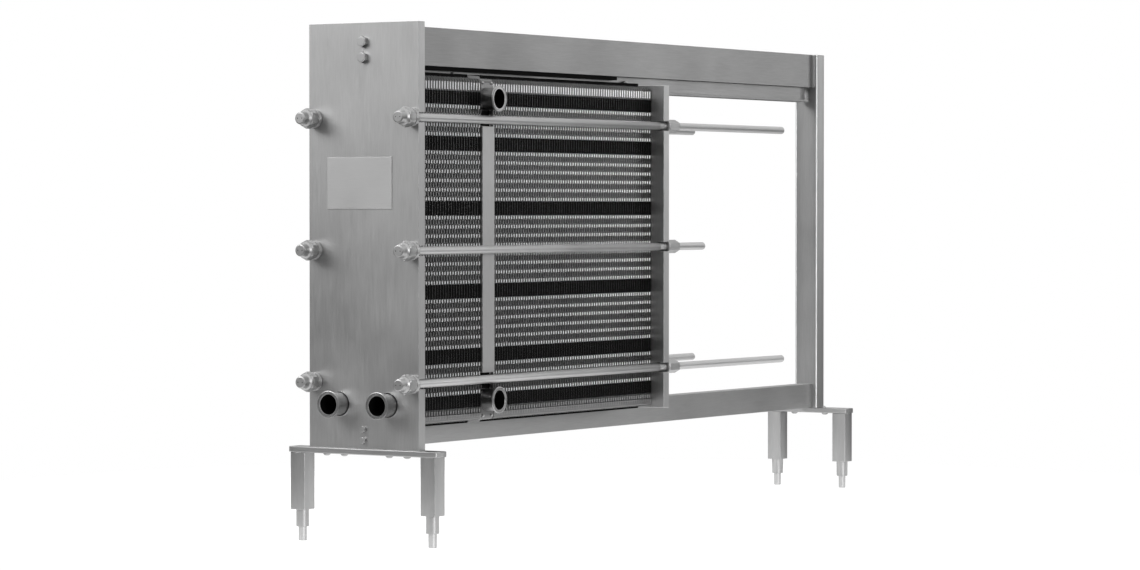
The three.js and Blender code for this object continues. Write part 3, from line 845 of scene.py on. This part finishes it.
def plate_template(clip_recess):
    """Flat coordinates, wave share, faces and border of one plate: waved rim, gasket seat, port holes."""
    shape = bmesh.new()
    share = shape.verts.layers.float.new("wave")
    outline = plate_outline()
    rings = []
    for depth, keep in ((0.0, 1.0), (RIM, 1.0), (SEAT, 0.0)):
        ring = []
        for y, z, w, clipped in outline:
            side = abs(y) > HALF_WIDTH - 1e-6
            recess = clip_recess if clipped and side and depth == 0 else 0.0
            py, pz = (y, z) if depth == 0 else inset(y, z, depth)
            point = shape.verts.new((0.0, py - math.copysign(recess, py), pz))
            point[share] = w * keep if abs(y) > TAB_HALF else 0.0
            ring.append(point)
        rings.append(ring)
    count = len(outline)
    for outer, inner in zip(rings, rings[1:]):
        for k in range(count):
            n = (k + 1) % count
            shape.faces.new((outer[k], outer[n], inner[n], inner[k]))
    edges = [shape.edges.get((rings[-1][k], rings[-1][(k + 1) % count])) for k in range(count)]
    for y in (-PORT_Y, PORT_Y):
        for z in (-PORT_Z, PORT_Z):
            hole = []
            for k in range(16):
                angle = 2 * math.pi * k / 16
                spot = (0.0, y + CHANNEL_R * math.cos(angle), z + CHANNEL_R * math.sin(angle))
                hole.append(shape.verts.new(spot))
            edges += [shape.edges.new((hole[k], hole[(k + 1) % 16])) for k in range(16)]
    bmesh.ops.triangle_fill(shape, use_beauty=True, use_dissolve=False, edges=edges, normal=(1, 0, 0))
    bmesh.ops.remove_doubles(shape, verts=shape.verts, dist=2e-5)
    bmesh.ops.dissolve_degenerate(shape, dist=1e-5, edges=shape.edges)
    bmesh.ops.recalc_face_normals(shape, faces=shape.faces)
    shape.verts.index_update()
    flat = np.array([tuple(v.co) for v in shape.verts])
    waves = np.array([v[share] for v in shape.verts])
    faces = [tuple(v.index for v in face.verts) for face in shape.faces]
    borders = []
    for edge in shape.edges:
        if len(edge.link_faces) == 1:
            loop = edge.link_loops[0]
            borders.append((loop.vert.index, loop.link_loop_next.vert.index))
    shape.free()
    return flat, waves, faces, borders


def sheet_solid(bag, template, x, sign):
    """Adds one plate of real thickness, its rim waving forwards or back."""
    flat, waves, faces, borders = template
    middle_x = x + sign * WAVE_DEPTH * waves
    front, back = flat.copy(), flat.copy()
    front[:, 0] = middle_x + SHEET_THICKNESS / 2
    back[:, 0] = middle_x - SHEET_THICKNESS / 2
    n = len(flat)
    solid = list(faces)
    solid += [tuple(i + n for i in reversed(face)) for face in faces]
    solid += [(b, a, a + n, b + n) for a, b in borders]
    bag.add(np.concatenate([front, back]) + np.array((0.0, 0.0, PACK_Z)), solid)


def pillow(bag, x0, x1, y, z0, z1, depth, lean):
    """A small crowned block on a side edge: its outer face is at y and its edges are rounded off."""
    side = 1 if y > 0 else -1
    inner = y - side * depth
    crown = y - side * lean
    ex, ez = (x1 - x0) * 0.22, min((z1 - z0) * 0.2, 1.5 * MM)
    points = [(x0, inner, z0), (x1, inner, z0), (x1, inner, z1), (x0, inner, z1),
              (x0, crown, z0), (x1, crown, z0), (x1, crown, z1), (x0, crown, z1),
              (x0 + ex, y, z0 + ez), (x1 - ex, y, z0 + ez), (x1 - ex, y, z1 - ez), (x0 + ex, y, z1 - ez)]
    faces = [(0, 1, 2, 3), (8, 11, 10, 9)]
    for a, b in ((0, 4), (4, 8)):
        for k in range(4):
            n = (k + 1) % 4
            faces.append((a + k, b + k, b + n, a + n))
    if side > 0:
        faces = [tuple(reversed(face)) for face in faces]
    bag.add(np.array(points) + np.array((0.0, 0.0, PACK_Z)), faces)


def crest_heights():
    """Heights of the rows where two neighbouring plates touch, outside the clip bands."""
    rows = []
    k = 0
    while CREST_ROW + k * WAVE_PERIOD < CLIP_BANDS[-1][0]:
        h = CREST_ROW + k * WAVE_PERIOD
        if not any(low < h < high for low, high in CLIP_BANDS):
            rows += [h, -h]
        k += 1
    return rows


def gasket_loop(bag, x0, x1):
    """The rubber frame in the seat between two plates."""
    seat, width = SEAT + 1 * MM, 9 * MM
    radius = CORNER
    loops = []
    for depth in (seat, seat + width):
        loop = []
        corners = ((1, -1, -math.pi / 2), (1, 1, 0.0), (-1, 1, math.pi / 2), (-1, -1, math.pi))
        for cy, cz, start in corners:
            y = cy * (HALF_WIDTH - depth - radius)
            z = cz * (HALF_HEIGHT - depth - radius)
            for k in range(4):
                angle = start + k * math.pi / 6
                loop.append((y + radius * math.cos(angle), z + radius * math.sin(angle)))
        loops.append(loop)
    points = [(x, y, z + PACK_Z) for loop in loops for x in (x0, x1) for y, z in loop]
    n = len(loops[0])
    faces = []
    for a, b in ((0, n), (n, 3 * n), (3 * n, 2 * n), (2 * n, 0)):
        for k in range(n):
            m = (k + 1) % n
            faces.append((a + k, a + m, b + m, b + k))
    bag.add(points, faces)


def build_pack(node, templates, crests):
    """A group of plates with their rubber: sheets, crests with a painted highlight, lower corners, gasket
    loops, and black pieces as painted shade.
    """
    low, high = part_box(node)
    count = round((high.x - low.x) / PLATE_PITCH / 2) * 2
    pitch = (high.x - low.x) / count
    sheets, seals_and_shade, bright, flanges = Bag(), Bag(), Bag(), Bag()
    half = SHEET_THICKNESS / 2
    limit = HALF_WIDTH - 0.2 * MM
    for i in range(count):
        x = low.x + (i + 0.5) * pitch
        sign = 1 if i % 2 == 0 else -1
        sheet_solid(sheets, templates[i % 2], x, sign)
        x0, x1 = x + half + 0.05 * MM, x + pitch - half - 0.05 * MM
        if i == count - 1 and node in CLOSED_BY_PLATE:
            x1 = high.x
        gasket_loop(seals_and_shade, x0, x1)
        for side in (-1, 1):
            for band_low, band_high in CLIP_BANDS:
                for z0, z1 in ((band_low, band_high), (-band_high, -band_low)):
                    pillow(seals_and_shade, x0, x1, side * limit, z0 + 1 * MM, z1 - 1 * MM, SEAT, 0.9 * MM)
            # black strips over the tabs: painted shade in the gaps above and below the plates
            shade_strip_x = (x - 0.5 * pitch, x + 0.5 * pitch - 0.3 * MM)
            shade_strip_y = sorted((side * SHADE_STRIP_START, side * TAB_HALF))
            for z0, z1 in (TOP_SHADE_STRIP, BOTTOM_SHADE_STRIP):
                add_box(seals_and_shade, shade_strip_x, shade_strip_y, (z0 + PACK_Z, z1 + PACK_Z))
            flange_x = (x0 - 0.6 * MM, x1 + 0.6 * MM if i < count - 1 else x1)
            pillow(flanges, *flange_x, side * limit, *FLANGE, 2 * MM, 0.5 * MM)
            if sign > 0 and i < count - 1:
                # blocks bridging each pair of plates at the crest rows and the top row, in the painted
                # highlight steel; the bottom row stays plain sheet steel
                bridge = (x + 0.5 * MM, x + pitch - 0.5 * MM, side * limit)
                for h in crests:
                    pillow(bright, *bridge, h - CREST_HALF, h + CREST_HALF, CREST_DEPTH, CREST_LEAN)
                pillow(bright, *bridge, *TOP_CREST, CREST_DEPTH, CREST_LEAN)
                pillow(sheets, *bridge, *BOTTOM_CREST, CREST_DEPTH, CREST_LEAN)
                # black blocks in the gaps between the other pairs of plates at the crest rows: painted
                # shade for the dark cells
                if i < count - 2:
                    shaded_cell = (x + pitch - 0.3 * MM, x + 2 * pitch + 0.3 * MM, side * (limit - 2.4 * MM))
                    for h in crests:
                        pillow(seals_and_shade, *shaded_cell, h - 4 * MM, h + 4 * MM, 6 * MM, 0.3 * MM)
    for bag, material, name, slot in ((sheets, SHEET, "sheets", "brushed_plate"),
                                      (bright, HIGHLIGHT_STEEL, "crests", "brushed_plate"),
                                      (flanges, BAR, "flanges", "brushed_plate"),
                                      (seals_and_shade, RUBBER_AND_SHADE, "gaskets_and_shade", "plate_pack")):
        stands_for = [node] if bag is sheets else []
        place(f"{node}_{name}", bag.mesh(f"{node}_{name}"), material, node, slot, *stands_for)


TEMPLATES = [plate_template(recess) for recess in CLIP_RECESS]
CRESTS = crest_heights()
for pack in PACKS:
    build_pack(pack, TEMPLATES, CRESTS)


# ---------------------------------------------------------------- camera, light and floor

CAMERA_PLACE = Vector((-8.1230, -5.0803, 0.7901))
CAMERA_BEARING = math.radians(32.551)  # the view's turn from +X towards +Y
CAMERA_DROP = math.radians(1.189)
SENSOR = 36.0
LENS = 116.8
BACKDROP = 1.0
FLOOR_FADE = (1.3, 2.1)  # the floor fades into the background between these distances
# brightness of the light from straight down, under the horizon, over the horizon, higher up and overhead
SKY = [(0.0, 0.10), (0.47, 0.14), (0.53, 0.30), (0.75, 0.95), (1.0, 1.3)]


def camera():
    data = bpy.data.cameras.new("camera")
    data.sensor_width = SENSOR
    data.lens = LENS
    data.clip_end = 200.0
    holder = bpy.data.objects.new("camera", data)
    bpy.context.scene.collection.objects.link(holder)
    direction = Vector((
        math.cos(CAMERA_BEARING) * math.cos(CAMERA_DROP),
        math.sin(CAMERA_BEARING) * math.cos(CAMERA_DROP),
        -math.sin(CAMERA_DROP),
    ))
    holder.location = CAMERA_PLACE
    holder.rotation_mode = "QUATERNION"
    holder.rotation_quaternion = direction.to_track_quat("-Z", "Y")
    bpy.context.scene.camera = holder


def softbox(name, location, target, width, height, power):
    data = bpy.data.lights.new(name, "AREA")
    data.shape = "RECTANGLE"
    data.size = width
    data.size_y = height
    data.energy = power
    lamp = bpy.data.objects.new(name, data)
    bpy.context.scene.collection.objects.link(lamp)
    lamp.location = location
    lamp.rotation_mode = "QUATERNION"
    lamp.rotation_quaternion = (Vector(target) - Vector(location)).to_track_quat("-Z", "Y")


def studio_world():
    """Light that falls off from the ceiling to the horizon, in front of a plain white background."""
    world = bpy.data.worlds.new("studio")
    world.use_nodes = True
    nodes, links = world.node_tree.nodes, world.node_tree.links
    light = nodes["Background"]
    backdrop = nodes.new("ShaderNodeBackground")
    backdrop.inputs["Color"].default_value = (1.0, 1.0, 1.0, 1.0)
    backdrop.inputs["Strength"].default_value = BACKDROP
    direction = nodes.new("ShaderNodeTexCoord")
    split = nodes.new("ShaderNodeSeparateXYZ")
    links.new(direction.outputs["Generated"], split.inputs["Vector"])
    ramp = nodes.new("ShaderNodeValToRGB")
    stops = ramp.color_ramp.elements
    for position, level in SKY[2:]:
        stops.new(position)
    for stop, (position, level) in zip(stops, SKY):
        stop.position = position
        stop.color = (level, level, level, 1.0)
    height = nodes.new("ShaderNodeMapRange")
    height.inputs["From Min"].default_value = -1.0
    height.inputs["From Max"].default_value = 1.0
    links.new(split.outputs["Z"], height.inputs["Value"])
    links.new(height.outputs["Result"], ramp.inputs["Fac"])
    links.new(ramp.outputs["Color"], light.inputs["Color"])
    light.inputs["Strength"].default_value = 1.0
    path = nodes.new("ShaderNodeLightPath")
    mix = nodes.new("ShaderNodeMixShader")
    links.new(path.outputs["Is Camera Ray"], mix.inputs["Fac"])
    links.new(light.outputs["Background"], mix.inputs[1])
    links.new(backdrop.outputs["Background"], mix.inputs[2])
    links.new(mix.outputs["Shader"], nodes["World Output"].inputs["Surface"])
    bpy.context.scene.world = world
    bpy.context.scene.view_settings.view_transform = "Standard"


def studio():
    studio_world()
    softbox("key", (-5.0, 3.3, 3.9), (-0.9, 0.0, 0.9), 4.0, 2.8, 205)
    softbox("edge", (-3.9, -6.4, 1.6), (0.0, 0.0, 0.7), 0.9, 2.6, 125)
    softbox("side", (6.5, -4.4, 1.8), (0.3, 0.0, 0.9), 2.6, 2.4, 36)

    floor_material, nodes, links, shader = tree_of("floor")
    mottling = noise(nodes, links, EVEN, 1.5, 4.0, 0.5)
    value = remap(nodes, links, mottling.outputs["Fac"], 0.48, 0.52)
    links.new(tinted(nodes, links, value, 0.0), shader.inputs["Base Color"])
    shader.inputs["Emission Color"].default_value = (1.0, 1.0, 1.0, 1.0)
    shader.inputs["Emission Strength"].default_value = 0.7
    shader.inputs["Roughness"].default_value = 0.9
    coordinates = nodes.new("ShaderNodeTexCoord")
    distance = nodes.new("ShaderNodeVectorMath")
    distance.operation = "LENGTH"
    links.new(coordinates.outputs["Object"], distance.inputs[0])
    edge = remap(nodes, links, distance.outputs["Value"], 1.0, 0.0, FLOOR_FADE[0], FLOOR_FADE[1])
    links.new(edge, shader.inputs["Alpha"])
    bag = Bag()
    turns = [2 * math.pi * k / 96 for k in range(96)]
    rim = [(FLOOR_FADE[1] * math.cos(t), FLOOR_FADE[1] * math.sin(t), 0.0) for t in turns]
    bag.add(rim, [tuple(range(96))])
    floor = new_object("floor", bag.mesh("floor"), floor_material)
    floor.location.z = -0.0005


camera()
studio()
